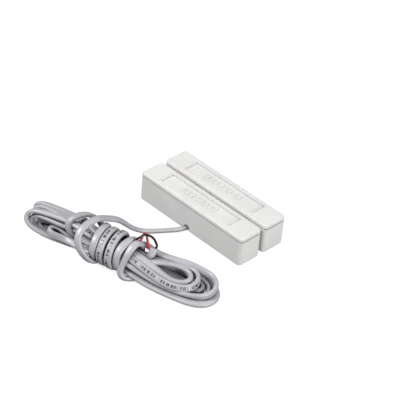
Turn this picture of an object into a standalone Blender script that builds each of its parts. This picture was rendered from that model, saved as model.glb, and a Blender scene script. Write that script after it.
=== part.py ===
"""A surface-mount magnetic door contact: a wired reed-switch half beside a magnet half.

The origin is at the bottom centre of the two halves. +X runs along their length, +Y from the switch
half to the magnet half, and +Z up. Sizes below are in millimetres, and MM turns them into metres.
"""

import math

import bmesh
import bpy
from mathutils import Matrix, Vector

MM = 0.001

# Each half is a tub with a lid.
LENGTH, WIDTH, HEIGHT = 63.5, 12.7, 14.3
HALF_GAP = 2.1
LID_EDGE = 1.9
SEAM = 0.3
WALL = 1.3
FLOOR = 1.8
CORNER = 1.8
RIM_TOP = HEIGHT - LID_EDGE - SEAM
CENTRE_Y = (HALF_GAP + WIDTH) / 2
INSIDE_X, INSIDE_Y = LENGTH / 2 - WALL, WIDTH / 2 - WALL

# Two floor holes take the mounting screws.
HOLE_X, HOLE_RADIUS = 25.0, 1.9

# A low frame stands round a shallow panel on each lid.
PANEL_LENGTH, PANEL_WIDTH, PANEL_CORNER = 44.2, 9.3, 1.5
FRAME_WIDTH, FRAME_HEIGHT, PANEL_DEPTH = 0.85, 0.25, 0.2

# Two tongues under each lid slide down inside the tub's long walls.
TONGUE_LENGTH, TONGUE_DEPTH, TONGUE_THICKNESS = 30.0, 3.0, 1.0

# The reed switch lies near the magnet half, at the magnet's height. Y is from the half's own centre.
REED_Y, REED_Z = 2.6, 6.5
GLASS_HALF, GLASS_RADIUS, GLASS_BORE, GLASS_NECK = 7.5, 1.15, 0.85, 0.6
BLADE_WIDTH, BLADE_THICKNESS, BLADE_OVERLAP, CONTACT_GAP = 1.1, 0.25, 1.0, 0.06
BLADE_ROOT = 6.2
LEAD_RADIUS, LEAD_END = 0.3, 14.3
CRADLE_X, CRADLE_THICKNESS = 6.6, 1.4
SPLICE_START, SPLICE_END, SPLICE_RADIUS, SPLICE_BORE = 11.8, 17.8, 1.0, 0.6

# The flat two-core cable leaves by a notch under the switch half's front wall.
CABLE_RADIUS = 1.25
CORE_RADIUS = 0.53
NOTCH_X, NOTCH_RADIUS, NOTCH_ARCH_Z = -1.0, 1.7, 1.25
NOTCH_REACH = -2.2
CABLE_Z = 1.4
CLAMP_Y, CLAMP_HALF_X, CLAMP_HALF_Y, CLAMP_LOW, CLAMP_TOP = -2.5, 4.8, 1.0, 4.3, 6.0
SADDLE_RADIUS, SADDLE_Z = 1.6, 3.35
SCREW_X, SCREW_HOLE = 3.3, 0.85
BOSS_RADIUS, BOSS_TOP, BOSS_FLOOR = 1.5, 4.0, 2.4

# The bar magnet lies on two ribs, between two end stops.
MAGNET_LENGTH, MAGNET_SIDE, MAGNET_Y, MAGNET_LOW = 30.0, 5.0, -2.2, 4.1
RIB_X, RIB_THICKNESS, RIB_CHEEK, RIB_TOP = 10.0, 1.6, 1.2, 8.0

# The rest of the cable is folded into a hank that lies in front of the switch half. Its own axes run
# S along the hank, T across it and Z up.
HANK_CENTRE, HANK_TURN = Vector((-3.25, -51.5, 0.0)), math.radians(13.1)
HANK_LEFT, HANK_LEFT_RADIUS = -41.0, 8.6
HANK_RIGHT, HANK_RIGHT_RADIUS = 35.5, 12.0
HANK_LOW, HANK_TOP = 0.3, 10.0
WRAP_LEFT, WRAP_RIGHT, WRAP_RADIUS, WRAP_T, WRAP_Z = -17.0, 8.0, 10.0, -2.6, 10.3
WRAP_TILT_T, WRAP_TILT_Z = 0.27, 0.36

TOUCH = 0.3  # neighbouring pieces stay this far apart
SINK = 0.2  # joined shapes reach this far into each other

CABLE_LEAD_ROUTE = (
    (NOTCH_X, -CENTRE_Y - WIDTH / 2 - 0.15, CABLE_Z),
    (-1.8, -16.6, 1.4),
    (-3.5, -19.7, 1.4),
    (-6.0, -23.2, 1.4),
    (-8.3, -26.9, 1.4),
    (-10.7, -30.1, 1.5),
    (-12.4, -33.3, 2.7),
    (-13.2, -36.9, 5.9),
    (-13.4, -41.4, 10.8),
    (-13.2, -44.8, 13.9),
)
CABLE_END_ROUTE = ((13.8, -50.2, 11.6), (13.2, -47.2, 11.6), (11.8, -45.6, 11.8), (10.7, -44.7, 12.5))
BLACK_WIRE_ROUTE = (
    (11.2, -44.1, 13.0),
    (11.1, -43.6, 13.7),
    (10.5, -43.5, 14.5),
    (8.8, -43.4, 15.7),
    (7.0, -44.0, 16.5),
    (5.6, -45.2, 16.8),
    (5.0, -47.1, 16.4),
    (4.0, -49.3, 15.4),
)
RED_WIRE_ROUTE = (
    (10.0, -44.3, 13.1),
    (8.9, -44.6, 13.3),
    (7.8, -44.9, 13.6),
    (6.7, -44.8, 14.4),
    (5.8, -44.5, 15.3),
    (4.9, -44.2, 16.2),
    (4.2, -44.6, 16.4),
    (4.3, -45.7, 15.7),
    (4.9, -46.9, 14.8),
    (4.6, -48.2, 13.6),
)


def material(name, colour, roughness, metallic=0.0, alpha=1.0):
    made = bpy.data.materials.new(name)
    made.use_nodes = True
    shader = made.node_tree.nodes["Principled BSDF"]
    shader.inputs["Base Color"].default_value = (*colour, 1.0)
    shader.inputs["Roughness"].default_value = roughness
    shader.inputs["Metallic"].default_value = metallic
    shader.inputs["Alpha"].default_value = alpha
    return made


def collection(name):
    made = bpy.data.collections.new(name)
    bpy.context.scene.collection.children.link(made)
    return made


for existing in list(bpy.data.objects):
    bpy.data.objects.remove(existing, do_unlink=True)

PARTS = collection("door_contact_sensor")
TOOLS = collection("cutters")

HOUSING = material("housing_plastic", (0.76, 0.76, 0.75), 0.45)
CLAMP = material("clamp_plastic", (0.62, 0.62, 0.6), 0.5)
GLASS = material("reed_glass", (0.75, 0.85, 0.8), 0.05, alpha=0.35)
NICKEL = material("nickel_iron", (0.66, 0.65, 0.62), 0.3, metallic=1.0)
TIN = material("tinned_copper", (0.7, 0.69, 0.67), 0.35, metallic=1.0)
STEEL = material("zinc_steel", (0.6, 0.6, 0.58), 0.35, metallic=1.0)
MAGNET = material("magnet", (0.2, 0.2, 0.21), 0.4, metallic=0.8)
SHEATH = material("cable_sheath", (0.44, 0.44, 0.47), 0.42)
BLACK = material("black_insulation", (0.02, 0.02, 0.02), 0.35)
RED = material("red_insulation", (0.6, 0.03, 0.04), 0.35)


def empty(name, location, parent=None):
    made = bpy.data.objects.new(name, None)
    made.location = Vector(location) * MM
    made.parent = parent
    PARTS.objects.link(made)
    return made


SWITCH = empty("switch_half_axes", (0.0, -CENTRE_Y, 0.0))
MAGNET_HALF = empty("magnet_half_axes", (0.0, CENTRE_Y, 0.0))
CABLE = empty("cable_axes", (0.0, 0.0, 0.0))


def add_slab(bm, low, high, corner=0.0, corner_steps=4, top=0.0, bottom=0.0, edge_steps=2):
    """Add a box between two corner points, with rounded upright edges and eased rims."""
    low, high = Vector(low) * MM, Vector(high) * MM
    place = Matrix.Translation((low + high) / 2) @ Matrix.Diagonal((*(high - low), 1.0))
    box = bmesh.new()
    bmesh.ops.create_cube(box, size=1.0, matrix=place)
    if corner:
        upright = [e for e in box.edges if abs(e.verts[0].co.z - e.verts[1].co.z) > 1e-7]
        bmesh.ops.bevel(box, geom=upright, offset=corner * MM, offset_type="OFFSET",
                        segments=corner_steps, profile=0.5, affect="EDGES")
    for offset, height in ((top, high.z), (bottom, low.z)):
        if offset:
            rim = [e for e in box.edges if all(abs(v.co.z - height) < 1e-7 for v in e.verts)]
            bmesh.ops.bevel(box, geom=rim, offset=offset * MM, offset_type="OFFSET",
                            segments=edge_steps, profile=0.5, affect="EDGES")
    merge(bm, box)


def add_cylinder(bm, start, end, radius, sides=16):
    """Add a closed cylinder between two points on its axis."""
    start, end = Vector(start) * MM, Vector(end) * MM
    turn = (end - start).to_track_quat("Z", "Y").to_matrix().to_4x4()
    bmesh.ops.create_cone(bm, cap_ends=True, segments=sides, radius1=radius * MM, radius2=radius * MM,
                          depth=(end - start).length, matrix=Matrix.Translation((start + end) / 2) @ turn)


def merge(bm, other):
    mesh = bpy.data.meshes.new("shape")
    other.to_mesh(mesh)
    other.free()
    bm.from_mesh(mesh)
    bpy.data.meshes.remove(mesh)


def mesh_object(name, bm, parent, finish=None, location=(0.0, 0.0, 0.0)):
    """Turn a bmesh, drawn round its own origin, into a part, or into a tool if it has no finish."""
    mesh = bpy.data.meshes.new(name)
    bm.to_mesh(mesh)
    bm.free()
    made = bpy.data.objects.new(name, mesh)
    made.parent = parent
    made.location = Vector(location) * MM
    if finish:
        mesh.materials.append(finish)
        mesh.shade_smooth()
        mesh.set_sharp_from_angle(angle=math.radians(35))
        PARTS.objects.link(made)
    else:
        made.hide_render = True
        made.display_type = "WIRE"
        TOOLS.objects.link(made)
    return made


def boolean(target, tool, operation):
    modifier = target.modifiers.new(tool.name, "BOOLEAN")
    modifier.operation = operation
    modifier.object = tool


def turned(name, profile, parent, finish, location, turn=(0.0, 0.0, 0.0), steps=12, closed=False):
    """Turn a profile of (radius, height) points, listed down its outer side, about its own Z axis."""
    bm = bmesh.new()
    points = [bm.verts.new((radius * MM, 0.0, height * MM)) for radius, height in profile]
    ends = points[1:] + (points[:1] if closed else [])
    for first, second in zip(points, ends):
        bm.edges.new((first, second))
    made = mesh_object(name, bm, parent, finish, location)
    made.rotation_euler = turn
    screw = made.modifiers.new("turn", "SCREW")
    screw.steps = screw.render_steps = steps
    screw.use_merge_vertices = True
    screw.merge_threshold = 1e-6
    return made


def smooth_route(points, step):
    """Points about one step apart on a smooth curve through the route's own points."""
    points = [Vector(p) for p in points]
    points = [2 * points[0] - points[1]] + points + [2 * points[-1] - points[-2]]
    curve = []
    for a, b, c, d in zip(points, points[1:], points[2:], points[3:]):
        pieces = max(1, round((c - b).length / step))
        for i in range(pieces):
            t = i / pieces
            curve.append(0.5 * (2 * b + (c - a) * t + (2 * a - 5 * b + 4 * c - d) * t**2
                                + (3 * b - a - 3 * c + d) * t**3))
    return curve + [points[-2]]


def tube(name, route, radius, step, parent, finish):
    data = bpy.data.curves.new(name, "CURVE")
    data.dimensions = "3D"
    data.bevel_depth = radius * MM
    data.bevel_resolution = 2
    data.use_fill_caps = True
    data.materials.append(finish)
    points = smooth_route(route, step)
    spline = data.splines.new("POLY")
    spline.points.add(len(points) - 1)
    for place, point in zip(spline.points, points):
        place.co = (*(point * MM), 1.0)
    made = bpy.data.objects.new(name, data)
    made.parent = parent
    PARTS.objects.link(made)
    return made


def tub(name, parent, add_ribs):
    """The open box of one half, with its inner ribs and its two mounting holes."""
    bm = bmesh.new()
    add_slab(bm, (-LENGTH / 2, -WIDTH / 2, 0.0), (LENGTH / 2, WIDTH / 2, RIM_TOP), CORNER, 8, top=0.22,
             bottom=0.4)
    base = mesh_object(name, bm, parent, HOUSING)

    hollow = bmesh.new()
    add_slab(hollow, (-INSIDE_X, -INSIDE_Y, FLOOR), (INSIDE_X, INSIDE_Y, RIM_TOP + 1), 0.8, 2)
    boolean(base, mesh_object(name + "_hollow", hollow, parent), "DIFFERENCE")

    ribs = bmesh.new()
    add_ribs(ribs)
    boolean(base, mesh_object(name + "_ribs", ribs, parent), "UNION")

    holes = bmesh.new()
    for side in (-1, 1):
        add_cylinder(holes, (side * HOLE_X, 0.0, -1.0), (side * HOLE_X, 0.0, FLOOR + 1), HOLE_RADIUS)
    boolean(base, mesh_object(name + "_holes", holes, parent), "DIFFERENCE")
    return base


def lid(name, parent):
    """A lid with a framed panel on top and two tongues underneath."""
    bm = bmesh.new()
    low = RIM_TOP + SEAM
    add_slab(bm, (-LENGTH / 2, -WIDTH / 2, low), (LENGTH / 2, WIDTH / 2, HEIGHT), CORNER, 8, top=0.8,
             bottom=0.22)
    cover = mesh_object(name, bm, parent, HOUSING)

    tongues = bmesh.new()
    outer = INSIDE_Y - TOUCH
    for near, far in ((-outer, TONGUE_THICKNESS - outer), (outer - TONGUE_THICKNESS, outer)):
        add_slab(tongues, (-TONGUE_LENGTH / 2, near, low - TONGUE_DEPTH),
                 (TONGUE_LENGTH / 2, far, low + SINK))
    boolean(cover, mesh_object(name + "_tongues", tongues, parent), "UNION")

    frame = bmesh.new()
    half_x, half_y = PANEL_LENGTH / 2, PANEL_WIDTH / 2
    add_slab(frame, (-half_x, -half_y, HEIGHT - SINK), (half_x, half_y, HEIGHT + FRAME_HEIGHT),
             PANEL_CORNER, 3, top=0.15, edge_steps=1)
    boolean(cover, mesh_object(name + "_frame", frame, parent), "UNION")

    panel = bmesh.new()
    half_x, half_y = half_x - FRAME_WIDTH, half_y - FRAME_WIDTH
    add_slab(panel, (-half_x, -half_y, HEIGHT - PANEL_DEPTH), (half_x, half_y, HEIGHT + 1), 0.5, 2)
    boolean(cover, mesh_object(name + "_panel", panel, parent), "DIFFERENCE")
    return cover


def switch_base():
    """The switch half's tub: reed cradles, cable-clamp bosses and the cable notch."""

    def add_ribs(bm):
        for side in (-1, 1):
            add_slab(bm, (side * CRADLE_X - CRADLE_THICKNESS / 2, 0.5, FLOOR - SINK),
                     (side * CRADLE_X + CRADLE_THICKNESS / 2, INSIDE_Y + SINK, REED_Z + 0.7))
            x = NOTCH_X + side * SCREW_X
            add_cylinder(bm, (x, CLAMP_Y, FLOOR - SINK), (x, CLAMP_Y, BOSS_TOP), BOSS_RADIUS)

    base = tub("switch_base", SWITCH, add_ribs)
    seat = GLASS_RADIUS + TOUCH
    reach = CRADLE_X + CRADLE_THICKNESS

    round_cuts = bmesh.new()
    add_cylinder(round_cuts, (-reach, REED_Y, REED_Z), (reach, REED_Y, REED_Z), seat)
    for side in (-1, 1):
        x = NOTCH_X + side * SCREW_X
        add_cylinder(round_cuts, (x, CLAMP_Y, BOSS_FLOOR), (x, CLAMP_Y, BOSS_TOP + 0.4), SCREW_HOLE)
    add_cylinder(round_cuts, (NOTCH_X, -WIDTH / 2 - 1, NOTCH_ARCH_Z), (NOTCH_X, NOTCH_REACH, NOTCH_ARCH_Z),
                 NOTCH_RADIUS, 20)
    boolean(base, mesh_object("switch_round_cuts", round_cuts, SWITCH), "DIFFERENCE")

    square_cuts = bmesh.new()
    add_slab(square_cuts, (-reach, REED_Y - seat, REED_Z), (reach, REED_Y + seat, REED_Z + 1.2))
    add_slab(square_cuts, (NOTCH_X - NOTCH_RADIUS, -WIDTH / 2 - 1, -1.0),
             (NOTCH_X + NOTCH_RADIUS, NOTCH_REACH, NOTCH_ARCH_Z))
    boolean(base, mesh_object("switch_square_cuts", square_cuts, SWITCH), "DIFFERENCE")


def magnet_base():
    """The magnet half's tub, whose ribs hold the bar magnet."""

    back = MAGNET_Y + MAGNET_SIDE / 2 + TOUCH
    near, far = -INSIDE_Y - SINK, back + RIB_CHEEK
    stop_x = MAGNET_LENGTH / 2 + TOUCH

    def add_ribs(bm):
        for middle in (-RIB_X, RIB_X):
            add_slab(bm, (middle - RIB_THICKNESS / 2, near, FLOOR - SINK),
                     (middle + RIB_THICKNESS / 2, far, RIB_TOP))
        for left in (-stop_x - RIB_CHEEK, stop_x):
            add_slab(bm, (left, near, FLOOR - SINK), (left + RIB_CHEEK, far, RIB_TOP))

    base = tub("magnet_base", MAGNET_HALF, add_ribs)
    seat = bmesh.new()
    add_slab(seat, (-RIB_X - RIB_THICKNESS, -INSIDE_Y, MAGNET_LOW - TOUCH),
             (RIB_X + RIB_THICKNESS, back, RIB_TOP + 1))
    boolean(base, mesh_object("magnet_seat", seat, MAGNET_HALF), "DIFFERENCE")


def reed_switch():
    """A sealed glass capsule with two flat blades, open at its necks round the leads."""
    shoulder, throat = GLASS_HALF - 0.9, GLASS_HALF - 0.6
    side = [(GLASS_NECK, GLASS_HALF), (0.85, GLASS_HALF), (1.05, GLASS_HALF - 0.35), (GLASS_RADIUS, shoulder)]
    bore = [(GLASS_BORE, shoulder - 0.2), (GLASS_NECK, throat)]
    profile = side + [(r, -z) for r, z in reversed(side)] + [(r, -z) for r, z in reversed(bore)] + bore
    turned("reed_glass", profile, SWITCH, GLASS, (0.0, REED_Y, REED_Z), (0.0, math.pi / 2, 0.0), 14, True)

    half_width, low = BLADE_WIDTH / 2, CONTACT_GAP / 2
    high = low + BLADE_THICKNESS
    fixed = bmesh.new()
    add_slab(fixed, (-BLADE_ROOT, -half_width, -high), (BLADE_OVERLAP, half_width, -low))
    fixed = mesh_object("reed_blade_fixed", fixed, SWITCH, NICKEL, (0.0, REED_Y, REED_Z))
    stem = bmesh.new()
    add_cylinder(stem, (-LEAD_END, 0.0, 0.0), (SINK - BLADE_ROOT, 0.0, 0.0), LEAD_RADIUS, 12)
    boolean(fixed, mesh_object("reed_stem", stem, SWITCH, location=(0.0, REED_Y, REED_Z)), "UNION")

    moving = bmesh.new()
    add_slab(moving, (-BLADE_OVERLAP - BLADE_ROOT, -half_width, low), (0.0, half_width, high))
    mesh_object("reed_blade_moving", moving, SWITCH, NICKEL, (BLADE_ROOT, REED_Y, REED_Z))

    lead = bmesh.new()
    add_cylinder(lead, (BLADE_ROOT + TOUCH, 0.0, 0.0), (LEAD_END, 0.0, 0.0), LEAD_RADIUS, 12)
    mesh_object("reed_lead_right", lead, SWITCH, NICKEL, (0.0, REED_Y, REED_Z))


def splices():
    """A crimp sleeve on each end of the reed switch, where a cable core is joined to it."""
    half = (SPLICE_END - SPLICE_START) / 2
    profile = [(SPLICE_BORE, half), (SPLICE_RADIUS, half), (SPLICE_RADIUS, 0.5), (0.85, 0.25), (0.85, -0.25),
               (SPLICE_RADIUS, -0.5), (SPLICE_RADIUS, -half), (SPLICE_BORE, -half)]
    for name, side in (("splice_left", -1), ("splice_right", 1)):
        middle = side * (SPLICE_START + half)
        turned(name, profile, SWITCH, TIN, (middle, REED_Y, REED_Z), (0.0, math.pi / 2, 0.0), 12, True)


def inner_cable():
    """The cable's last stretch, inside the switch half: its sheath and its two cores."""
    front = -WIDTH / 2 + 0.15
    sheath = [(NOTCH_X, front, CABLE_Z), (NOTCH_X, -5.2, 1.45), (NOTCH_X, -4.0, 2.2), (NOTCH_X, -2.9, 3.05),
              (NOTCH_X, -1.9, 3.4), (NOTCH_X, -0.9, 3.5)]
    tube("cable_inner", sheath, CABLE_RADIUS, 0.8, SWITCH, SHEATH)
    for name, side, finish in (("core_black", -1, BLACK), ("core_red", 1, RED)):
        start = NOTCH_X + side * 0.8
        route = [(start, -0.3, 3.5), (start + side * 0.5, 0.4, 3.9), (start + side * 2.0, 0.1, 4.8),
                 (side * 6.6, -0.8, 5.2), (side * 10.0, -1.2, 5.4), (side * 15.0, -1.4, 5.8),
                 (side * 19.0, -0.8, 6.2), (side * 20.6, 0.8, 6.4), (side * 19.6, 2.4, 6.5),
                 (side * (SPLICE_END + TOUCH), REED_Y, REED_Z)]
        tube(name, route, CORE_RADIUS, 1.6, SWITCH, finish)


def cable_clamp():
    """The strain relief: a bar screwed down across the cable's sheath."""
    bm = bmesh.new()
    add_slab(bm, (NOTCH_X - CLAMP_HALF_X, CLAMP_Y - CLAMP_HALF_Y, CLAMP_LOW),
             (NOTCH_X + CLAMP_HALF_X, CLAMP_Y + CLAMP_HALF_Y, CLAMP_TOP), 0.5, 2, top=0.25, edge_steps=1)
    bar = mesh_object("cable_clamp", bm, SWITCH, CLAMP)
    cuts = bmesh.new()
    reach = CLAMP_HALF_Y + 1
    add_cylinder(cuts, (NOTCH_X, CLAMP_Y - reach, SADDLE_Z), (NOTCH_X, CLAMP_Y + reach, SADDLE_Z), SADDLE_RADIUS)
    for side in (-1, 1):
        x = NOTCH_X + side * SCREW_X
        add_cylinder(cuts, (x, CLAMP_Y, CLAMP_LOW - 1), (x, CLAMP_Y, CLAMP_TOP + 1), SCREW_HOLE)
    boolean(bar, mesh_object("clamp_cuts", cuts, SWITCH), "DIFFERENCE")

    head_low = CLAMP_TOP + TOUCH
    profile = [(0.0, head_low + 1.0), (0.8, head_low + 0.9), (1.2, head_low + 0.5), (1.3, head_low),
               (0.55, head_low), (0.55, 3.0), (0.3, 2.7), (0.0, 2.7)]
    for name, side in (("clamp_screw_left", -1), ("clamp_screw_right", 1)):
        place = (NOTCH_X + side * SCREW_X, CLAMP_Y, 0.0)
        screw = turned(name, profile, SWITCH, STEEL, place)
        slot = bmesh.new()
        add_slab(slot, (-2.0, -0.2, head_low + 0.5), (2.0, 0.2, head_low + 2.0))
        boolean(screw, mesh_object(name + "_slot", slot, SWITCH, location=place), "DIFFERENCE")


def bar_magnet():
    bm = bmesh.new()
    half = MAGNET_SIDE / 2
    add_slab(bm, (-MAGNET_LENGTH / 2, -half, 0.0), (MAGNET_LENGTH / 2, half, MAGNET_SIDE), top=0.4, bottom=0.4,
             edge_steps=1)
    mesh_object("bar_magnet", bm, MAGNET_HALF, MAGNET, (0.0, MAGNET_Y, MAGNET_LOW))


def hull_of_rings(rings, sides=20):
    """The closed solid stretched round several circles, each (centre, radius, normal)."""
    bm = bmesh.new()
    for centre, radius, normal in rings:
        turn = Vector(normal).to_track_quat("Z", "Y").to_matrix().to_4x4()
        place = Matrix.Translation(Vector(centre) * MM) @ turn
        bmesh.ops.create_circle(bm, segments=sides, radius=radius * MM, matrix=place)
    hull = bmesh.ops.convex_hull(bm, input=bm.verts)
    loose = [item for item in hull["geom_interior"] if isinstance(item, bmesh.types.BMVert)]
    bmesh.ops.delete(bm, geom=loose, context="VERTS")
    return bm


def hank():
    """The folded cable: a flat bundle with round ends, and the turns wrapped round its middle."""
    up = (0.0, 0.0, 1.0)
    ends = ((HANK_LEFT, HANK_LEFT_RADIUS), (HANK_RIGHT, HANK_RIGHT_RADIUS))
    rings = [((s, 0.0, z), radius, up) for s, radius in ends for z in (HANK_LOW, HANK_TOP)]
    bundle = mesh_object("cable_hank", hull_of_rings(rings), CABLE, SHEATH, HANK_CENTRE)
    bundle.rotation_euler.z = HANK_TURN

    rings = (((WRAP_LEFT, WRAP_T, WRAP_Z), WRAP_RADIUS, (1.0, 0.0, 0.0)),
             ((WRAP_RIGHT, WRAP_T, WRAP_Z), WRAP_RADIUS, (1.0, WRAP_TILT_T, WRAP_TILT_Z)))
    wraps = mesh_object("hank_wraps", hull_of_rings(rings, 24), CABLE, location=HANK_CENTRE)
    wraps.rotation_euler.z = HANK_TURN
    boolean(bundle, wraps, "UNION")


def free_cable():
    """The cable outside the switch half, up to the bared ends of its two cores."""
    tube("cable_lead", CABLE_LEAD_ROUTE, CABLE_RADIUS, 2.5, CABLE, SHEATH)
    hank()
    tube("cable_end", CABLE_END_ROUTE, CABLE_RADIUS, 1.5, CABLE, SHEATH)
    tube("wire_black", BLACK_WIRE_ROUTE, CORE_RADIUS, 1.5, CABLE, BLACK)
    tube("wire_red", RED_WIRE_ROUTE, CORE_RADIUS, 1.5, CABLE, RED)


switch_base()
lid("switch_lid", SWITCH)
reed_switch()
splices()
inner_cable()
cable_clamp()
magnet_base()
lid("magnet_lid", MAGNET_HALF)
bar_magnet()
free_cable()
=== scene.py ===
"""Looks of a surface-mount door contact: two moulded halves, and a grey cable folded into a hank.

Lengths are in millimetres, and MM turns them into metres; the camera, the lights and the floor are in
metres. The hank has its own axes: S along it, T across it towards the switch half, and Z up.
"""
import math

import bmesh
import bpy
import numpy as np
from mathutils import Matrix, Vector


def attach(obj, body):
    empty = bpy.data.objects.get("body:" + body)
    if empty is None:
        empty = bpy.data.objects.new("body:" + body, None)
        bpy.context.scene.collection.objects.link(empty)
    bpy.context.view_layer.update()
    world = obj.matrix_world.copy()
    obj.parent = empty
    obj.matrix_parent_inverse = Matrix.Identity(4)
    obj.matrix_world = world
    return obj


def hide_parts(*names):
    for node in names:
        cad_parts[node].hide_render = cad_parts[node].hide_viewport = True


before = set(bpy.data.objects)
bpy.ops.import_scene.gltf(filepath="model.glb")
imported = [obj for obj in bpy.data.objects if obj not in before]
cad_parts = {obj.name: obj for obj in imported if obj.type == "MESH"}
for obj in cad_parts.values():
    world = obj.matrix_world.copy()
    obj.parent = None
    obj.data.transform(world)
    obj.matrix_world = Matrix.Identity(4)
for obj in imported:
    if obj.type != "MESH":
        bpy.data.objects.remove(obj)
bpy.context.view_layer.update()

MM = 0.001


# ---------------------------------------------------------------- camera and light

AZIMUTH, ELEVATION, ROLL = math.radians(42.47), math.radians(37.27), math.radians(5.42)
CAMERA_DISTANCE = 0.700
CAMERA_AIM = Vector((0.0, -0.001035, 0.0))
LENS, SENSOR = 141.6, 36.0
SHIFT_X, SHIFT_Y = -0.02125, 0.0504

# Each light's place, width and power.
LIGHTS = {"key": ((0.10, 0.42, 0.80), 0.50, 1.7),
          "side": ((-0.40, -0.50, 0.60), 0.30, 5.3),
          "fill": ((0.80, -0.10, 0.30), 0.45, 4.9)}
LIGHTS_AIM = (0.0, -0.02, 0.0)
WORLD_GLOW = 0.22
FLOOR_SIZE = 3.0
# The floor's glow as the object sees it, and as the camera sees it in the narrowest gaps and in the open.
FLOOR_GLOW, FLOOR_SHADED, FLOOR_WHITE = 0.22, 0.10, 1.05
# How far a gap is looked at, and how open the floor there is where it is darkest and where it is white.
SHADOW_REACH, SHADED_BELOW, OPEN_ABOVE = 0.008, 0.04, 0.16
AO_SAMPLES = 8


def add_camera():
    """A long lens on the two halves from their front right."""
    back = Vector((math.sin(AZIMUTH) * math.cos(ELEVATION), -math.cos(AZIMUTH) * math.cos(ELEVATION),
                   math.sin(ELEVATION)))
    level = Vector((math.cos(AZIMUTH), math.sin(AZIMUTH), 0.0))
    upright = back.cross(level)
    right = math.cos(ROLL) * level + math.sin(ROLL) * upright
    up = back.cross(right)
    data = bpy.data.cameras.new("camera")
    data.lens, data.sensor_width = LENS, SENSOR
    data.shift_x, data.shift_y = SHIFT_X, SHIFT_Y
    data.clip_start = 0.01
    camera = bpy.data.objects.new("camera", data)
    camera.matrix_world = Matrix.Translation(CAMERA_AIM + back * CAMERA_DISTANCE) @ Matrix(
        (right, up, back)).transposed().to_4x4()
    bpy.context.scene.collection.objects.link(camera)
    bpy.context.scene.camera = camera


def add_light(name, place, size, power):
    data = bpy.data.lights.new(name, "AREA")
    data.shape = "DISK"
    data.size, data.energy = size, power
    light = bpy.data.objects.new(name, data)
    light.location = place
    light.rotation_euler = (Vector(place) - Vector(LIGHTS_AIM)).to_track_quat("Z", "Y").to_euler()
    bpy.context.scene.collection.objects.link(light)


def add_studio():
    """A white floor under soft lights: a broad key behind and overhead, and one at each side."""
    world = bpy.data.worlds.new("studio")
    world.use_nodes = True
    world.node_tree.nodes["Background"].inputs["Color"].default_value = (1.0, 1.0, 1.0, 1.0)
    world.node_tree.nodes["Background"].inputs["Strength"].default_value = WORLD_GLOW
    bpy.context.scene.world = world
    for name, (place, size, power) in LIGHTS.items():
        add_light(name, place, size, power)
    add_floor()


def add_floor():
    bm = bmesh.new()
    bmesh.ops.create_grid(bm, x_segments=1, y_segments=1, size=FLOOR_SIZE)
    mesh = bpy.data.meshes.new("floor")
    bm.to_mesh(mesh)
    bm.free()
    floor = bpy.data.objects.new("floor", mesh)
    bpy.context.scene.collection.objects.link(floor)
    mesh.materials.append(floor_paint())


def floor_paint():
    """Evenly white to the camera, with a painted shadow in narrow gaps, and a soft glow from below on the
    object.
    """
    paint = bpy.data.materials.new("white_floor")
    paint.use_nodes = True
    nodes, links = paint.node_tree.nodes, paint.node_tree.links
    nodes.clear()
    seen = nodes.new("ShaderNodeLightPath")
    bright = nodes.new("ShaderNodeMapRange")
    bright.inputs["To Min"].default_value = FLOOR_GLOW
    glow = nodes.new("ShaderNodeEmission")
    end = nodes.new("ShaderNodeOutputMaterial")
    open_sky = nodes.new("ShaderNodeAmbientOcclusion")
    open_sky.samples = AO_SAMPLES
    open_sky.inputs["Distance"].default_value = SHADOW_REACH
    shadow = nodes.new("ShaderNodeMapRange")
    for socket, value in (("From Min", SHADED_BELOW), ("From Max", OPEN_ABOVE), ("To Min", FLOOR_SHADED),
                          ("To Max", FLOOR_WHITE)):
        shadow.inputs[socket].default_value = value
    links.new(open_sky.outputs["AO"], shadow.inputs["Value"])
    links.new(shadow.outputs["Result"], bright.inputs["To Max"])
    links.new(seen.outputs["Is Camera Ray"], bright.inputs["Value"])
    links.new(bright.outputs["Result"], glow.inputs["Strength"])
    links.new(glow.outputs["Emission"], end.inputs["Surface"])
    return paint


# ---------------------------------------------------------------- the cable's route

HANK_CENTRE, HANK_TURN = np.array([-3.25, -51.5, 0.0]), math.radians(13.1)
HANK_AXES = np.array([[math.cos(HANK_TURN), math.sin(HANK_TURN), 0.0],
                      [-math.sin(HANK_TURN), math.cos(HANK_TURN), 0.0],
                      [0.0, 0.0, 1.0]])
CABLE_WIDTH, CABLE_THICKNESS = 3.4, 2.2
CORE_DIAMETER = 1.05
# Powers below 1 make the sheath's section squarer than an ellipse. The valley's depth is a share of the
# section's half thickness.
POWER_WIDE, POWER_THIN = 0.9, 0.85
VALLEY_DEPTH, VALLEY_REACH = 0.10, 0.5

# How the flat sheath twists. Its narrow edge faces the front right along the lead. Its flat side does so on
# three stretches: before the wraps' end, on a printed strand and before the cut end. The places between
# which a pull comes and goes are along the cable, from its start or back from the wraps' end or cut end.
FRONT_RIGHT = np.array([0.54, -0.59, 0.61])
LEAD_ON_EDGE, LEAD_FLAT, EDGE_PULL = 14.0, 30.0, 6.0
WRAPS_END_SHOWS, WRAPS_END_PULL = (-26.0, -20.0, -10.0, -5.0), 2.5
PRINT_SHOWS, PRINT_PULL = (1276.0, 1286.0, 1318.0, 1328.0), 2.0
CUT_END_SHOWS, CUT_END_PULL = (-14.0, -9.0), 12.0
# On the wraps the flat side faces outwards from the hank's middle.
WRAPS_START, WRAPS_MIDDLE_Z, WRAPS_PULL = 42.0, 8.0, 0.6
# Strands of the folds lie flat where no bend says otherwise, and more so in the bottom layer.
LIES_FLAT, BOTTOM_LIES_FLAT, BOTTOM_BELOW = 0.35, 3.0 * 0.35, 1.9
# A bend weaker than this percentile of the folds' bends has less than half a say.
USUAL_BEND = 60
TWIST_EASE = 6

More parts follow.
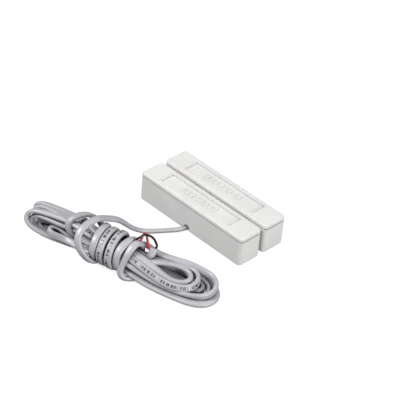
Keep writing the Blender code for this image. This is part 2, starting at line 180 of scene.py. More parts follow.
LEAD = [(-1.3, -13.4, 1.2), (-1.3, -14.8, 1.2), (-1.8, -16.6, 1.2), (-3.5, -19.7, 1.3), (-6.0, -23.2, 1.4),
        (-8.3, -26.9, 1.3), (-10.7, -30.1, 1.3), (-12.4, -33.3, 2.7), (-13.2, -36.9, 5.9),
        (-13.4, -41.4, 10.8), (-13.2, -45.0, 14.0)]

# Each wrap, from the back over the top: S at its top, front and foot, its centre's T and Z, and its half
# width and half height.
WRAPS = ((-10.6, -14.2, -5.2, -3.4, 9.8, 10.4, 8.7),
         (-17.8, -25.0, -21.6, 1.0, 9.4, 6.2, 5.6),
         (-8.6, -6.6, -6.6, -2.6, 8.4, 8.8, 7.4),
         (-4.6, -3.0, -2.6, -2.6, 8.4, 8.8, 7.4),
         (-0.2, 1.4, 1.6, -2.6, 8.5, 9.0, 7.5),
         (6.4, 4.4, 4.8, -2.3, 8.2, 7.8, 7.1))
WRAP_ANGLES = (41, 75, 110, 145, 180, 205, 230, 260, 290, 320, 350, 375)
TOP_ANGLE, FRONT_ANGLE, FOOT_ANGLE, NEXT_TOP_ANGLE = 41, 150, 240, 401
# The last of these wraps stops here, and LAST_WRAP goes on from it.
LAST_ANGLE = 290

# The last wrap is slack and leans outwards at its foot. From there the strand runs to the back of the
# first fold.
LAST_WRAP = ((6.4, 1.6, 1.6), (7.6, 3.4, 3.6), (8.6, 4.0, 7.5), (9.2, 2.8, 12.0), (9.4, 0.4, 15.2),
             (9.0, -2.2, 16.0), (8.2, -5.4, 12.2), (7.2, -8.0, 8.0), (6.8, -10.0, 4.4), (7.4, -10.9, 2.2),
             (9.0, -10.9, 1.5), (10.8, -9.4, 1.4), (11.8, -7.2, 1.3), (13.0, -4.6, 1.3))
TO_FIRST_FOLD = ((15.0, -1.0, 1.2), (19.0, 3.4, 1.2), (26.0, 8.4, 1.3))

# Each fold of the hank, through its right end, the waist, its left end and back through the waist. An end
# is its tip's S, its shoulder's S, T and Z on its first side, and T and Z on its second. The other pairs are
# T and Z where the fold passes the waist's right, the waist, its left twice, the waist and its right again.
FOLDS = (
    ((47.6, 38.0, 9.8, 1.4, -6.0, 1.5), (-6.8, 1.5), (-7.4, 4.0), (-5.0, 3.6),
     (-34.4, -30.5, -7.6, 4.2, -2.4, 5.8), (-2.6, 4.4), (-1.3, 3.9), (5.6, 2.2)),
    ((43.2, 35.5, 9.2, 2.0, -3.4, 1.8), (-4.2, 1.4), (-4.2, 3.9), (-1.4, 1.3),
     (-44.6, -37.8, -6.2, 2.4, -3.6, 8.8), (-3.2, 8.6), (-1.4, 8.5), (3.4, 1.4)),
    ((41.4, 33.5, 7.6, 2.2, -1.6, 2.0), (-1.7, 1.4), (-2.7, 6.2), (3.8, 1.3),
     (-48.0, -43.0, 0.8, 1.6, 4.1, 6.8), (1.2, 9.6), (0.6, 11.0), (6.2, 8.6)),
    ((46.2, 37.5, 11.2, 5.2, -3.9, 3.2), (-5.4, 4.0), (-6.6, 8.5), (-1.2, 3.8),
     (-45.4, -39.8, -1.2, 1.6, 1.2, 3.4), (-1.0, 6.3), (0.1, 6.2), (1.8, 4.0)),
    ((38.4, 32.0, 5.2, 1.5, 1.0, 1.4), (0.9, 1.4), (-4.0, 8.6), (1.2, 1.3),
     (-42.4, -37.0, -3.4, 1.5, -0.5, 4.2), (1.3, 4.6), (2.5, 6.2), (3.2, 7.2)),
    ((38.7, 31.0, 8.2, 6.6, -5.4, 4.6), (-5.9, 6.6), (-5.3, 10.8), (-2.4, 11.4),
     (-45.8, -39.4, -4.2, 11.0, -7.8, 3.8), (-3.9, 1.3), (-5.0, 6.2), (1.4, 9.6)),
    ((36.3, 29.5, 5.0, 7.6, -3.6, 6.4), (-3.6, 8.4), (-2.7, 11.4), (3.9, 9.2),
     (-50.1, -45.0, 7.0, 5.8, 4.4, 1.5), (6.0, 2.2), (1.2, 8.6), None),
)
FOLD_RIGHT_S, FOLD_LEFT_S = 22.0, -25.0
# Where along the waist the folds are placed, and how much they close up there. The second row is where the
# last fold's way back is placed.
WAIST = ((6.0, 1.0), (-2.0, 1.0), (-10.0, 0.85))
LAST_FOLD_WAIST = (-10.0, -1.0)

# The fold that humps up as it leaves the waist, and its hump.
HUMPED_FOLD = 2
HUMP = ((8.4, 3.0, 12.4), (10.6, 3.8, 12.4), (12.6, 4.6, 10.4), (16.0, 5.6, 8.4))

# From the waist to the sheath's cut end, which sticks up out of the hank.
TAIL = ((6.0, 0.6, 8.6), (10.8, 0.0, 8.0), (13.6, -0.4, 7.6), (15.4, 0.2, 8.3), (15.8, 1.3, 9.7),
        (15.5, 2.4, 11.1), (15.1, 3.5, 12.5))

STEP, FINE_STEP, WIRE_STEP = 1.6, 0.8, 0.5
STRAND_GAP, FLOOR_GAP = 2.55, 1.3
# Points fewer than this many gaps apart along the cable are one strand, and aren't pushed apart. Pairs
# farther apart than WATCHED gaps are left out until the next look.
SAME_STRAND, WATCHED = 3.2, 2.0
# How strongly the strands keep to their drawn places: in the wraps, in the folds' ends and at the waist.
HOLD_WRAPS, HOLD_ENDS, HOLD_WAIST, ENDS_FROM = 0.12, 0.06, 0.025, 20
SETTLE_ROUNDS, LOOK_AGAIN, STIFFNESS, PUSH, SMOOTH_ROUNDS = 300, 12, 0.10, 0.6, 6


def smooth_route(points, step):
    """Points about one step apart on a smooth curve through the route's own points."""
    points = np.asarray(points, float)
    points = np.vstack([2 * points[0] - points[1], points, 2 * points[-1] - points[-2]])
    pieces = []
    for a, b, c, d in zip(points, points[1:], points[2:], points[3:]):
        u = np.linspace(0.0, 1.0, 24, endpoint=False)[:, None]
        pieces.append(0.5 * (2 * b + (c - a) * u + (2 * a - 5 * b + 4 * c - d) * u**2
                             + (3 * b - a - 3 * c + d) * u**3))
    return evenly(np.vstack(pieces + [points[-2:-1]]), step)


def evenly(points, step):
    """The same line with its points the same distance apart, close to one step."""
    run = np.concatenate([[0.0], np.cumsum(np.linalg.norm(np.diff(points, axis=0), axis=1))])
    places = np.linspace(0.0, run[-1], max(2, round(run[-1] / step)) + 1)
    return np.stack([np.interp(places, run, points[:, k]) for k in range(3)], axis=1)


def wrap_points():
    """The turns round the hank's waist, over the top from back to front. Each leans into the next."""
    points = []
    for row, after in zip(WRAPS, WRAPS[1:] + (None,)):
        top, front, foot, t, z, half_t, half_z = row
        next_top, _, _, next_t, next_z, next_half_t, next_half_z = after or (top + 3.0, *row[1:])
        for angle in WRAP_ANGLES:
            if after is None and angle > LAST_ANGLE:
                break
            s = np.interp(angle, (TOP_ANGLE, FRONT_ANGLE, FOOT_ANGLE, NEXT_TOP_ANGLE),
                          (top, front, foot, next_top))
            share = max(0.0, (angle - FOOT_ANGLE) / (NEXT_TOP_ANGLE - FOOT_ANGLE))
            centre_t, centre_z = t + (next_t - t) * share, z + (next_z - z) * share
            wide, high = half_t + (next_half_t - half_t) * share, half_z + (next_half_z - half_z) * share
            turn = math.radians(angle)
            points.append((s, centre_t + wide * math.cos(turn), centre_z + high * math.sin(turn)))
    return points + list(LAST_WRAP)


def fold_end(end):
    """The half ellipse round one end of a fold."""
    tip, shoulder, first_t, first_z, second_t, second_z = end
    points = []
    for turn in np.radians((-90, -55, -20, 20, 55, 90)):
        share = (1 + math.sin(turn)) / 2
        points.append((shoulder + (tip - shoulder) * math.cos(turn),
                       first_t + (second_t - first_t) * share, first_z + (second_z - first_z) * share))
    return points


def fold_points():
    """The seven folds, one after the other, and the tail."""
    points = list(TO_FIRST_FOLD)
    for number, fold in enumerate(FOLDS):
        right, right_mid, front, left_mid, left, left_back, back, right_back = fold
        points += fold_end(right)
        points.append((FOLD_RIGHT_S, *right_mid))
        points += [(s, close * front[0], front[1]) for s, close in WAIST]
        points.append((FOLD_LEFT_S, *left_mid))
        points += fold_end(left)
        points.append((FOLD_LEFT_S, *left_back))
        if right_back:
            points += [(s, close * back[0], back[1]) for s, close in reversed(WAIST)]
            if number == HUMPED_FOLD:
                points += HUMP
            points.append((FOLD_RIGHT_S, *right_back))
        else:
            points += [(s, *back) for s in LAST_FOLD_WAIST]
    return points + list(TAIL)


def settle(points, hold, fixed):
    """Ease a strand's points until it lies clear of itself and the floor and bends smoothly.

    hold is how strongly each point keeps to its place, and fixed is how many at each end don't move.
    """
    drawn = points.copy()
    count = len(points)
    rest = np.linalg.norm(np.diff(points, axis=0), axis=1).mean()
    apart_along = math.ceil(SAME_STRAND * STRAND_GAP / rest)
    first, second = np.triu_indices(count, k=apart_along)
    for n in range(SETTLE_ROUNDS):
        if n % LOOK_AGAIN == 0:
            close = np.linalg.norm(points[first] - points[second], axis=1) < WATCHED * STRAND_GAP
            a, b = first[close], second[close]
        points += hold[:, None] * (drawn - points)
        points[1:-1] += STIFFNESS * ((points[:-2] + points[2:]) / 2 - points[1:-1])
        gap = points[a] - points[b]
        distance = np.linalg.norm(gap, axis=1) + 1e-9
        hit = distance < STRAND_GAP
        push = gap[hit] * ((STRAND_GAP - distance[hit]) / distance[hit])[:, None]
        moved, touches = np.zeros_like(points), np.zeros(count)
        np.add.at(moved, a[hit], push)
        np.add.at(moved, b[hit], -push)
        np.add.at(touches, a[hit], 1)
        np.add.at(touches, b[hit], 1)
        points += PUSH * moved / np.maximum(touches, 1)[:, None]
        for start in (0, 1):
            head, tail = points[start:-1:2], points[start + 1::2]
            link = tail - head
            length = np.linalg.norm(link, axis=1, keepdims=True)
            fix = 0.5 * (length - rest) / length * link
            points[start:-1:2] += fix
            points[start + 1::2] -= fix
        points[:, 2] = np.maximum(points[:, 2], FLOOR_GAP)
        points[:fixed], points[-fixed:] = drawn[:fixed], drawn[-fixed:]
    for _ in range(SMOOTH_ROUNDS):
        points[1:-1] = (points[:-2] + 2 * points[1:-1] + points[2:]) / 4
    return points


def cable_route():
    """The sheath's middle line, settled, and how far along it the wraps end."""
    coil = np.array(wrap_points() + fold_points()) @ HANK_AXES + HANK_CENTRE
    line = smooth_route(np.vstack([LEAD, coil]), STEP)
    wrapped = len(smooth_route(np.vstack([LEAD, coil[:len(wrap_points())]]), STEP))
    along_hank = (line - HANK_CENTRE) @ HANK_AXES[0]
    hold = np.where(np.abs(along_hank) > ENDS_FROM, HOLD_ENDS, HOLD_WAIST)
    hold[:wrapped] = HOLD_WRAPS
    return settle(line, hold, fixed=3), wrapped * STEP


# ---------------------------------------------------------------- sweeping a section along a line

def directions(line):
    """The line's direction at each of its points."""
    along = np.gradient(line, axis=0)
    return along / np.linalg.norm(along, axis=1, keepdims=True)


def carried_frames(along):
    """Two directions square to the line that don't turn about it."""
    side = np.cross(along[0], (0.0, 0.0, 1.0))
    side /= np.linalg.norm(side)
    sides = [side]
    for before, after in zip(along, along[1:]):
        axis = np.cross(before, after)
        size = np.linalg.norm(axis)
        if size > 1e-9:
            turn = Matrix.Rotation(math.atan2(size, float(before @ after)), 3, Vector(axis / size))
            side = np.array(turn @ Vector(side))
        side = side - (side @ after) * after
        side /= np.linalg.norm(side)
        sides.append(side)
    sides = np.array(sides)
    return sides, np.cross(along, sides)


def flat_cable_frames(line, along, wrapped):
    """Frames whose second axis, the cable's thin way, lies in the plane of each bend.

    A flat cable bends the thin way, and twists gently from one bend to the next. Each wish for the thin way
    is a doubled angle, since a half turn makes no difference, and their sum is smoothed along the line.
    """
    sides, uprights = carried_frames(along)

    def doubled(way):
        return ((way * sides).sum(axis=1) + 1j * (way * uprights).sum(axis=1)) ** 2

    def square_to_line(way):
        return way - (way * along).sum(axis=1)[:, None] * along

    run = np.concatenate([[0.0], np.cumsum(np.linalg.norm(np.diff(line, axis=0), axis=1))])
    out = line - HANK_CENTRE - np.array([0.0, 0.0, WRAPS_MIDDLE_Z])
    out = square_to_line(out - (out @ HANK_AXES[0])[:, None] * HANK_AXES[0])
    out /= np.linalg.norm(out, axis=1, keepdims=True)
    on_wraps = ((run > WRAPS_START) & (run < wrapped))[:, None]
    double = doubled(np.where(on_wraps, WRAPS_PULL * out, np.gradient(along, axis=0)))
    strength = np.abs(double)
    double = double / (strength + np.percentile(strength[run > wrapped], USUAL_BEND))
    flat = uprights[:, 2] * 1j + sides[:, 2]
    lies_flat = np.where(line[:, 2] < BOTTOM_BELOW, BOTTOM_LIES_FLAT, LIES_FLAT)
    double += np.where(run > wrapped, lies_flat, 0.0) * flat**2

    faced = doubled(square_to_line(np.tile(FRONT_RIGHT, (len(line), 1))))
    double -= np.interp(run, (LEAD_ON_EDGE, LEAD_FLAT), (EDGE_PULL, 0.0)) * faced
    for stretch, pull in ((np.add(wrapped, WRAPS_END_SHOWS), WRAPS_END_PULL), (PRINT_SHOWS, PRINT_PULL)):
        double += np.interp(run, stretch, (0.0, pull, pull, 0.0)) * faced
    double += np.interp(run, np.add(run[-1], CUT_END_SHOWS), (0.0, CUT_END_PULL)) * faced

    reach = 3 * TWIST_EASE
    kernel = np.exp(-0.5 * (np.arange(-reach, reach + 1) / TWIST_EASE) ** 2)
    kernel /= kernel.sum()
    double = np.convolve(np.pad(double, reach, mode="edge"), kernel, "valid")
    angle = np.unwrap(np.angle(double)) / 2
    angle = np.convolve(np.pad(angle, reach, mode="edge"), kernel, "valid")
    thin = np.cos(angle)[:, None] * sides + np.sin(angle)[:, None] * uprights
    return np.cross(thin, along), thin


# A swept piece goes no lower than FLOOR_CLEAR, and its cut ends look as its side does CUT_RUN along it.
FLOOR_CLEAR, CUT_RUN = 0.05, 5.0
SWEPT_SHARP, LID_SHARP = math.radians(50), math.radians(40)


def sweep(name, line, wide, thin, section):
    """A closed mesh: the section, in millimetres, carried along the line. UV is in millimetres too."""
    rings = (line[:, None, :] + section[None, :, :1] * wide[:, None, :]
             + section[None, :, 1:] * thin[:, None, :])
    count, sides = len(line), len(section)
    run = np.concatenate([[0.0], np.cumsum(np.linalg.norm(np.diff(line, axis=0), axis=1))])
    around = np.concatenate([[0.0], np.cumsum(np.linalg.norm(
        np.diff(np.vstack([section, section[:1]]), axis=0), axis=1))])
    faces, uvs = [], []
    for i in range(count - 1):
        for j in range(sides):
            k = (j + 1) % sides
            faces.append((i * sides + j, i * sides + k, (i + 1) * sides + k, (i + 1) * sides + j))
            uvs += [(run[i], around[j]), (run[i], around[j + 1]), (run[i + 1], around[j + 1]),
                    (run[i + 1], around[j])]
    rings[:, :, 2] = np.maximum(rings[:, :, 2], FLOOR_CLEAR)
    vertices = list(rings.reshape(-1, 3) * MM)
    for end, order in ((0, range(sides)), (count - 1, range(sides - 1, -1, -1))):
        middle = len(vertices)
        vertices.append(line[end] * MM)
        order = list(order)
        for a, b in zip(order, order[1:] + order[:1]):
            faces.append((end * sides + b, end * sides + a, middle))
            uvs += [(CUT_RUN, 0.0)] * 3
    mesh = bpy.data.meshes.new(name)
    mesh.from_pydata([tuple(v) for v in vertices], [], faces)
    layer = mesh.uv_layers.new(name="Run")
    layer.data.foreach_set("uv", np.array(uvs, dtype=np.float32).ravel())
    mesh.shade_smooth()
    mesh.set_sharp_from_angle(angle=SWEPT_SHARP)
    piece = bpy.data.objects.new(name, mesh)
    bpy.context.scene.collection.objects.link(piece)
    return piece


def cable_section(sides=24):
    """A flattened round with a faint valley between its two cores."""
    turn = np.linspace(0.0, 2 * math.pi, sides, endpoint=False)
    x = CABLE_WIDTH / 2 * np.sign(np.cos(turn)) * np.abs(np.cos(turn)) ** POWER_WIDE
    y = CABLE_THICKNESS / 2 * np.sign(np.sin(turn)) * np.abs(np.sin(turn)) ** POWER_THIN
    y *= 1 - VALLEY_DEPTH * np.exp(-((x / VALLEY_REACH) ** 2))
    return np.stack([x, y], axis=1)


def round_section(diameter, sides=14):
    turn = np.linspace(0.0, 2 * math.pi, sides, endpoint=False)
    return diameter / 2 * np.stack([np.cos(turn), np.sin(turn)], axis=1)


def length_of(points):
    """The line's length in metres."""
    return float(np.linalg.norm(np.diff(points, axis=0), axis=1).sum()) * MM


# The bared cores, from the sheath's cut end to where they go in among the wraps.
BLACK_WIRE = ((15.6, 3.7, 12.4), (15.9, 4.3, 13.4), (15.2, 4.7, 14.4), (13.6, 5.2, 15.7), (11.7, 5.0, 16.5),
              (10.0, 4.1, 16.8), (9.0, 2.4, 16.4), (7.6, 0.5, 15.4), (5.4, -0.6, 14.3), (2.0, -1.0, 13.9),
              (-2.0, -1.0, 13.7), (-6.0, -1.0, 13.6), (-9.0, -1.0, 13.5))
RED_WIRE = ((14.7, 3.0, 12.2), (13.9, 2.7, 11.6), (12.9, 2.7, 11.9), (12.1, 3.3, 12.9), (11.2, 4.1, 14.2),
            (10.4, 4.8, 15.3), (9.6, 5.3, 16.2), (8.8, 5.0, 16.4), (8.7, 3.9, 15.7), (9.0, 2.6, 14.8),
            (8.7, 1.6, 13.9), (8.0, 2.6, 12.8), (7.4, 4.6, 11.4), (7.0, 6.0, 9.4), (6.8, 6.6, 7.0),
            (7.0, 6.4, 4.4), (8.0, 5.0, 2.6), (10.0, 3.4, 1.8))


def add_cable():
    """The sheath in one piece from the notch to its cut end, and the two bared cores."""
    line, wrapped = cable_route()
    fine = smooth_route(line, FINE_STEP)
    wide, thin = flat_cable_frames(fine, directions(fine), wrapped)
    sheath = sweep("cable_sheath", fine, wide, thin, cable_section())
    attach(sheath, "switch_unit")
    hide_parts("cable_lead", "cable_hank", "cable_end")
    round(length_of(fine), 3)

    wires = []
    for name, points, node, slot in (("black_wire", BLACK_WIRE, "wire_black", "black_insulation"),
                                     ("red_wire", RED_WIRE, "wire_red", "red_insulation")):
        core = smooth_route(np.array(points) @ HANK_AXES + HANK_CENTRE, WIRE_STEP)
        sides, uprights = carried_frames(directions(core))
        wire = sweep(name, core, sides, uprights, round_section(CORE_DIAMETER))
        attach(wire, "switch_unit")
        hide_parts(node)
        round(length_of(core), 3)
        wires.append(wire)
    return sheath, *wires


# ---------------------------------------------------------------- the lids

LENGTH, WIDTH, HEIGHT = 63.5, 12.7, 14.3
LID_LOW, CORNER, CENTRE_Y = 12.4, 1.8, 7.4
TOP_EDGE_RADIUS, FOOT_EDGE_RADIUS = 0.8, 0.22
PANEL_X, PANEL_Y, PANEL_CORNER, CORNER_TIGHTENS = 22.1, 4.65, 1.5, 1.15
# Inwards from the frame's foot, over its rounded rim and down to the panel: inset and height.
FRAME_PROFILE = ((-0.16, 14.3), (-0.08, 14.3), (0.0, 14.32), (0.06, 14.38), (0.14, 14.43), (0.24, 14.45),
                 (0.34, 14.45), (0.54, 14.45), (0.60, 14.45), (0.68, 14.43), (0.72, 14.38), (0.73, 14.32),
                 (0.75, 13.88), (0.76, 13.82), (0.80, 13.76), (0.88, 13.75), (0.96, 13.75))
TONGUE_X, TONGUE_NEAR, TONGUE_FAR, TONGUE_LOW, TONGUE_INTO_LID = 15.0, 3.75, 4.75, 9.4, 0.3
TONGUE_CORNER, TONGUE_TOP_RADIUS, TONGUE_FOOT_RADIUS = 0.2, 0.05, 0.15
MOTIF_BARS, MOTIF_PITCH, MOTIF_MIDDLE = 8, 2.8, -0.8
BAR_X, BAR_Y, BAR_CORNER, BAR_LOW, BAR_TOP, BAR_EDGE_RADIUS = 0.75, 1.9, 0.7, 13.5, 13.97, 0.10


def outline(half_x, half_y, corner, centre=(0.0, 0.0), steps=8):
    """A rectangle with rounded corners, anticlockwise from above."""
    points = []
    for quarter, (sx, sy) in enumerate(((1, 1), (-1, 1), (-1, -1), (1, -1))):
        for i in range(steps + 1):
            turn = math.radians(90 * (quarter + i / steps))
            points.append((centre[0] + sx * (half_x - corner) + corner * math.cos(turn),
                           centre[1] + sy * (half_y - corner) + corner * math.sin(turn)))
    return points


def loft(bm, rings):
    """A closed solid through (outline, height) rings, listed from its underside to its top."""
    loops = [[bm.verts.new((x * MM, y * MM, z * MM)) for x, y in points] for points, z in rings]
    for low, high in zip(loops, loops[1:]):
        for i, vertex in enumerate(low):
            j = (i + 1) % len(low)
            bm.faces.new((vertex, low[j], high[j], high[i]))
    bm.faces.new(list(reversed(loops[0])))
    bm.faces.new(loops[-1])


def rounded_over(half_x, half_y, corner, low, high, radius, foot=0.0, centre=(0.0, 0.0), steps=5):
    """The rings of a low block whose top edge, and foot if asked, is rounded."""
    def ring(inset, z):
        return (outline(half_x - inset, half_y - inset, max(0.05, corner - inset), centre), z)

    rings = [ring(foot + 0.06, low)] if foot else []
    for i in range(steps + 1) if foot else ():
        turn = math.radians(90 * i / steps)
        rings.append(ring(foot * (1 - math.sin(turn)), low + foot * (1 - math.cos(turn))))
    if not foot:
        rings.append(ring(0.0, low))
    for i in range(steps + 1):
        turn = math.radians(90 * i / steps)
        rings.append(ring(radius * (1 - math.cos(turn)), high - radius * (1 - math.sin(turn))))
    return rings + [ring(radius + 0.06, high)]


def add_lid(name, middle, body, node):
    """A lid with a framed panel, a row of raised bars in it, and two tongues underneath."""
    bm = bmesh.new()
    centre = (0.0, middle)
    rings = rounded_over(LENGTH / 2, WIDTH / 2, CORNER, LID_LOW, HEIGHT, TOP_EDGE_RADIUS,
                         foot=FOOT_EDGE_RADIUS, centre=centre)
    for inset, z in FRAME_PROFILE:
        corner = PANEL_CORNER - inset * CORNER_TIGHTENS
        rings.append((outline(PANEL_X - inset, PANEL_Y - inset, corner, centre), z))
    loft(bm, rings)
    for side in (-1, 1):
        tongue = (0.0, middle + side * (TONGUE_NEAR + TONGUE_FAR) / 2)
        thickness = TONGUE_FAR - TONGUE_NEAR
        loft(bm, rounded_over(TONGUE_X, thickness / 2, TONGUE_CORNER, TONGUE_LOW, LID_LOW + TONGUE_INTO_LID,
                              TONGUE_TOP_RADIUS, TONGUE_FOOT_RADIUS, tongue, steps=2))
    for i in range(MOTIF_BARS):
        x = MOTIF_MIDDLE + (i - (MOTIF_BARS - 1) / 2) * MOTIF_PITCH
        loft(bm, rounded_over(BAR_X, BAR_Y, BAR_CORNER, BAR_LOW, BAR_TOP, BAR_EDGE_RADIUS,
                              centre=(x, middle), steps=3))
    mesh = bpy.data.meshes.new(name)
    bm.to_mesh(mesh)
    bm.free()
    mesh.shade_smooth()
    mesh.set_sharp_from_angle(angle=LID_SHARP)
    lid = bpy.data.objects.new(name, mesh)
    bpy.context.scene.collection.objects.link(lid)
    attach(lid, body)
    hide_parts(node)
    return lid


# ---------------------------------------------------------------- materials

class Finish:
    """A node material. Most methods add a node and return its output, and bump and set link the shader."""

    def __init__(self, name):
        self.material = bpy.data.materials.new(name)
        self.material.use_nodes = True
        self.tree = self.material.node_tree
        self.shader = self.tree.nodes["Principled BSDF"]

    def node(self, kind, **values):
        made = self.tree.nodes.new(kind)
        for key, value in values.items():
            if hasattr(made, key):
                setattr(made, key, value)
            else:
                made.inputs[key.replace("_", " ")].default_value = value
        return made

    def link(self, source, target):
        self.tree.links.new(source, target)

    def places(self):
        """The object's own coordinates, in millimetres."""
        source = self.node("ShaderNodeTexCoord")
        scale = self.node("ShaderNodeVectorMath", operation="SCALE")
        scale.inputs["Scale"].default_value = 1000.0
        self.link(source.outputs["Object"], scale.inputs[0])
        return scale.outputs["Vector"]

    def noise(self, where, size, detail=3.0, roughness=0.5):
        """Noise whose blotches are about size millimetres across, from 0 to 1."""
        made = self.node("ShaderNodeTexNoise", Scale=1.0 / size, Detail=detail, Roughness=roughness)
        self.link(where, made.inputs["Vector"])
        return made.outputs["Fac"]

    def stretched(self, where, scale):
        """The same places with each axis scaled, which stretches a pattern where the scale is small."""
        made = self.node("ShaderNodeVectorMath", operation="MULTIPLY")
        made.inputs[1].default_value = scale
        self.link(where, made.inputs[0])
        return made.outputs["Vector"]

    def ranged(self, value, low, high, to_low=0.0, to_high=1.0, smooth=False):
        """The value's low to high drawn out to to_low to to_high, and held there beyond them."""
        made = self.node("ShaderNodeMapRange", From_Min=low, From_Max=high, To_Min=to_low, To_Max=to_high)
        if smooth:
            made.interpolation_type = "SMOOTHSTEP"
        self.link(value, made.inputs["Value"])
        return made.outputs["Result"]

    def sum(self, a, b, operation="ADD"):
        """One sum on two values, each a number or an output."""
        made = self.node("ShaderNodeMath", operation=operation)
        for socket, value in zip(made.inputs, (a, b)):
            if isinstance(value, (int, float)):
                socket.default_value = value
            else:
                self.link(value, socket)
        return made.outputs["Value"]

    def mixed(self, share, first, second):
        """The first colour where share is 0, and the second where it is 1."""
        made = self.node("ShaderNodeMix", data_type="RGBA")
        self.link(share, made.inputs["Factor"])
        for socket, colour in ((made.inputs[6], first), (made.inputs[7], second)):
            if isinstance(colour, tuple):
                socket.default_value = (*colour, 1.0)
            else:
                self.link(colour, socket)
        return made.outputs[2]

    def open_sky(self, reach):
        """How open the surface is within reach millimetres: 0 in a tight gap, 1 on an open face."""
        made = self.node("ShaderNodeAmbientOcclusion", samples=AO_SAMPLES)
        made.inputs["Distance"].default_value = reach * MM
        return made.outputs["AO"]

    def bump(self, height, depth, strength=1.0):
        """Raise the surface by depth millimetres where height is 1."""
        made = self.node("ShaderNodeBump", Strength=strength, Distance=depth * MM)
        self.link(height, made.inputs["Height"])
        self.link(made.outputs["Normal"], self.shader.inputs["Normal"])

    def set(self, **values):
        for key, value in values.items():
            socket = self.shader.inputs[key.replace("_", " ")]
            if isinstance(value, bpy.types.NodeSocket):
                self.link(value, socket)
            else:
                socket.default_value = (*value, 1.0) if isinstance(value, tuple) else value


# The height of the seam under the lids, and how far off the relief's steps a painted shade darkens the
# plastic.
SEAM_Z = 12.25
RELIEF_REACH = 0.9


def moulded_plastic(name, light, shade, seam=None):
    """Matt moulded plastic: a fine spark-eroded grain, faint flow clouds, dust in the seam, and painted
    shade in tight corners.
    """
    finish = Finish(name)
    where = finish.places()
    clouds = finish.noise(where, 14.0, 2.0)
    grain = finish.noise(where, 0.22, 2.0, 0.6)
    colour = finish.mixed(finish.ranged(clouds, 0.35, 0.65), shade, light)
    specks = finish.ranged(finish.noise(where, 0.5, 1.0), 0.70, 0.78)
    colour = finish.mixed(finish.sum(specks, 0.10, "MULTIPLY"), colour, tuple(0.8 * c for c in shade))
    if seam:
        split = finish.node("ShaderNodeSeparateXYZ")
        finish.link(where, split.inputs["Vector"])
        off = finish.sum(finish.sum(split.outputs["Z"], SEAM_Z, "SUBTRACT"), 0.0, "ABSOLUTE")
        band = finish.ranged(off, 0.20, 0.42, 0.45, 0.0, smooth=True)
        # The dust lies outside the seam, not on the rim that the lid covers.
        facing = finish.node("ShaderNodeSeparateXYZ")
        finish.link(finish.node("ShaderNodeNewGeometry").outputs["Normal"], facing.inputs["Vector"])
        upright = finish.sum(finish.sum(facing.outputs["Z"], 0.0, "ABSOLUTE"), 0.9, "LESS_THAN")
        band = finish.sum(band, upright, "MULTIPLY")
        colour = finish.mixed(band, colour, seam)
    # Painted shade in the corners of the relief and in other tight corners.
    open_sky = finish.open_sky(RELIEF_REACH)
    colour = finish.mixed(finish.ranged(open_sky, 0.50, 0.92, 0.75, 0.0), colour,
                          tuple(0.45 * c for c in shade))
    finish.set(Base_Color=colour, Roughness=finish.ranged(grain, 0.3, 0.7, 0.58, 0.70),
               Specular_IOR_Level=0.15)
    finish.bump(grain, 0.008, 0.3)
    return finish.material


SHEATH_LIGHT, SHEATH_SHADE = (0.515, 0.518, 0.545), (0.44, 0.443, 0.47)
NEAR_BLACK = (0.03, 0.03, 0.035)
# How far off another strand still darkens the sheath with painted shade.
CLOSE_BY = 8.0
# The print: how far round the sheath its middle is, on both flat sides, and the stretches that carry it.
PRINT_PLACE = 2.28
PRINTED = ((196.0, 276.0), (742.0, 800.0), (1274.0, 1350.0))


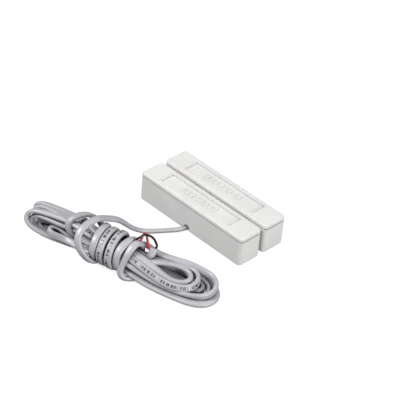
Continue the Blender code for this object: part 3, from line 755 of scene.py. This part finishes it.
def cable_pvc():
    """Soft grey PVC: extrusion lines along it, scuffs, worn generic dashes printed on it, and painted shade
    between strands and at the notch.
    """
    finish = Finish("sheath_pvc")
    run = finish.node("ShaderNodeUVMap", uv_map="Run")
    split = finish.node("ShaderNodeSeparateXYZ")
    finish.link(run.outputs["UV"], split.inputs["Vector"])
    along, around = split.outputs["X"], split.outputs["Y"]
    where = finish.places()
    clouds = finish.noise(where, 9.0, 2.0)
    lines = finish.noise(finish.stretched(run.outputs["UV"], (0.05, 4.0, 1.0)), 1.0, 2.0)
    grain = finish.noise(where, 0.25, 2.0)
    colour = finish.mixed(finish.ranged(clouds, 0.3, 0.7), SHEATH_SHADE, SHEATH_LIGHT)
    colour = finish.mixed(finish.ranged(lines, 0.3, 0.7, 0.0, 0.10), colour, SHEATH_SHADE)

    # Three rows of dashes of unlike pitch leave uneven marks where they coincide, and noise wears them.
    def dashes(pitch, mark, start):
        place = finish.sum(finish.sum(along, start), pitch, "MODULO")
        return finish.ranged(place, mark, mark + 0.12, 1.0, 0.0)

    marks = finish.sum(dashes(1.7, 1.25, 0.0), dashes(2.5, 2.05, 0.6), "MULTIPLY")
    marks = finish.sum(marks, dashes(10.0, 8.6, 1.1), "MULTIPLY")
    printed = 0.0
    for start, end in PRINTED:
        inside = finish.sum(finish.sum(along, start, "GREATER_THAN"), finish.sum(along, end, "LESS_THAN"),
                            "MULTIPLY")
        printed = finish.sum(printed, inside)
    face = finish.sum(finish.sum(around, 2 * PRINT_PLACE, "MODULO"), PRINT_PLACE, "SUBTRACT")
    band = finish.ranged(finish.sum(face, 0.0, "ABSOLUTE"), 0.60, 0.70, 1.0, 0.0)
    wear = finish.ranged(finish.noise(where, 0.35, 1.0), 0.32, 0.40)
    ink = finish.sum(finish.sum(marks, band, "MULTIPLY"), finish.sum(wear, printed, "MULTIPLY"),
                     "MULTIPLY")
    colour = finish.mixed(finish.sum(ink, 0.92, "MULTIPLY"), colour, NEAR_BLACK)

    # Painted shade where strands lie against each other.
    open_sky = finish.open_sky(CLOSE_BY)
    colour = finish.mixed(finish.ranged(open_sky, 0.10, 0.62, 0.80, 0.0), colour, NEAR_BLACK)
    # Painted shade also darkens the sheath where it comes out of its notch.
    colour = finish.mixed(finish.ranged(along, 0.6, 2.6, 0.75, 0.0), colour, NEAR_BLACK)
    finish.set(Base_Color=colour, Roughness=finish.ranged(clouds, 0.3, 0.7, 0.36, 0.46),
               Specular_IOR_Level=0.95)
    finish.bump(finish.sum(lines, finish.sum(grain, 0.5, "MULTIPLY")), 0.03, 0.6)
    return finish.material


def insulation(name, light, shade):
    """Glossy thin-wall insulation."""
    finish = Finish(name)
    where = finish.places()
    clouds = finish.noise(where, 2.5, 2.0)
    finish.set(Base_Color=finish.mixed(finish.ranged(clouds, 0.3, 0.7), shade, light),
               Roughness=finish.ranged(clouds, 0.3, 0.7, 0.20, 0.32), Specular_IOR_Level=0.6)
    finish.bump(finish.noise(where, 0.3, 1.0), 0.02, 0.5)
    return finish.material


def metal(name, light, shade, roughness, grain=(1.0, 1.0, 1.0), size=0.3):
    """Bare metal with fine marks, stretched along by grain."""
    finish = Finish(name)
    where = finish.places()
    marks = finish.noise(finish.stretched(where, grain), size, 3.0)
    finish.set(Base_Color=finish.mixed(finish.ranged(marks, 0.3, 0.7), shade, light), Metallic=1.0,
               Roughness=finish.ranged(marks, 0.3, 0.7, roughness - 0.06, roughness + 0.08))
    finish.bump(marks, 0.01, 0.6)
    return finish.material


def capsule_glass():
    """Faintly green sealed glass."""
    finish = Finish("capsule_glass")
    clouds = finish.noise(finish.places(), 1.5, 1.0)
    finish.set(Base_Color=finish.mixed(clouds, (0.80, 0.93, 0.84), (0.90, 0.97, 0.92)), Roughness=0.03,
               Transmission_Weight=0.92, IOR=1.5)
    finish.bump(clouds, 0.05, 0.4)
    return finish.material


def sintered_magnet():
    """Dark ferrite with a granular, lightly ground face."""
    finish = Finish("ferrite")
    where = finish.places()
    grain = finish.noise(where, 0.25, 4.0, 0.7)
    grinding = finish.noise(finish.stretched(where, (0.05, 1.0, 1.0)), 0.15, 1.0)
    finish.set(Base_Color=finish.mixed(finish.ranged(grain, 0.3, 0.7), (0.030, 0.029, 0.030),
                                       (0.085, 0.082, 0.080)),
               Roughness=finish.ranged(grinding, 0.3, 0.7, 0.40, 0.62), Specular_IOR_Level=0.6)
    finish.bump(finish.sum(grain, grinding), 0.05, 0.6)
    return finish.material


def dress(finishes):
    """Give each CAD part that still shows its material."""
    for material, nodes in finishes:
        for node in nodes:
            for slot in bpy.data.objects[node].material_slots:
                slot.material = material


# ---------------------------------------------------------------- the scene

bpy.context.scene.view_settings.view_transform = "Standard"
add_camera()
add_studio()
sheath, black_wire, red_wire = add_cable()
lids = [add_lid("lid_of_switch", -CENTRE_Y, "switch_cover", "switch_lid"),
        add_lid("lid_of_magnet", CENTRE_Y, "magnet_cover", "magnet_lid")]

housing = moulded_plastic("housing", (0.80, 0.795, 0.787), (0.755, 0.75, 0.742), seam=(0.33, 0.29, 0.23))
pvc = cable_pvc()
black = insulation("black_insulation", (0.014, 0.014, 0.015), (0.008, 0.008, 0.009))
red = insulation("red_insulation", (0.70, 0.055, 0.065), (0.55, 0.030, 0.040))
for piece, material in ((sheath, pvc), (black_wire, black), (red_wire, red), (lids[0], housing),
                        (lids[1], housing)):
    piece.data.materials.append(material)
nickel = metal("nickel_iron", (0.72, 0.70, 0.66), (0.58, 0.56, 0.53), 0.24, (0.15, 1.0, 1.0))
dress((
    (housing, ("switch_base", "magnet_base")),
    (moulded_plastic("clamp", (0.70, 0.70, 0.69), (0.64, 0.64, 0.63)), ("cable_clamp",)),
    (capsule_glass(), ("reed_glass",)),
    (nickel, ("reed_blade_fixed", "reed_blade_moving")),
    (metal("tinned_copper", (0.80, 0.78, 0.74), (0.62, 0.60, 0.56), 0.30),
     ("reed_lead_right", "splice_left", "splice_right")),
    (metal("zinc_steel", (0.66, 0.67, 0.68), (0.50, 0.51, 0.52), 0.32),
     ("clamp_screw_left", "clamp_screw_right")),
    (sintered_magnet(), ("bar_magnet",)),
    (insulation("inner_sheath", SHEATH_LIGHT, SHEATH_SHADE), ("cable_inner",)),
    (black, ("core_black",)),
    (red, ("core_red",)),
))
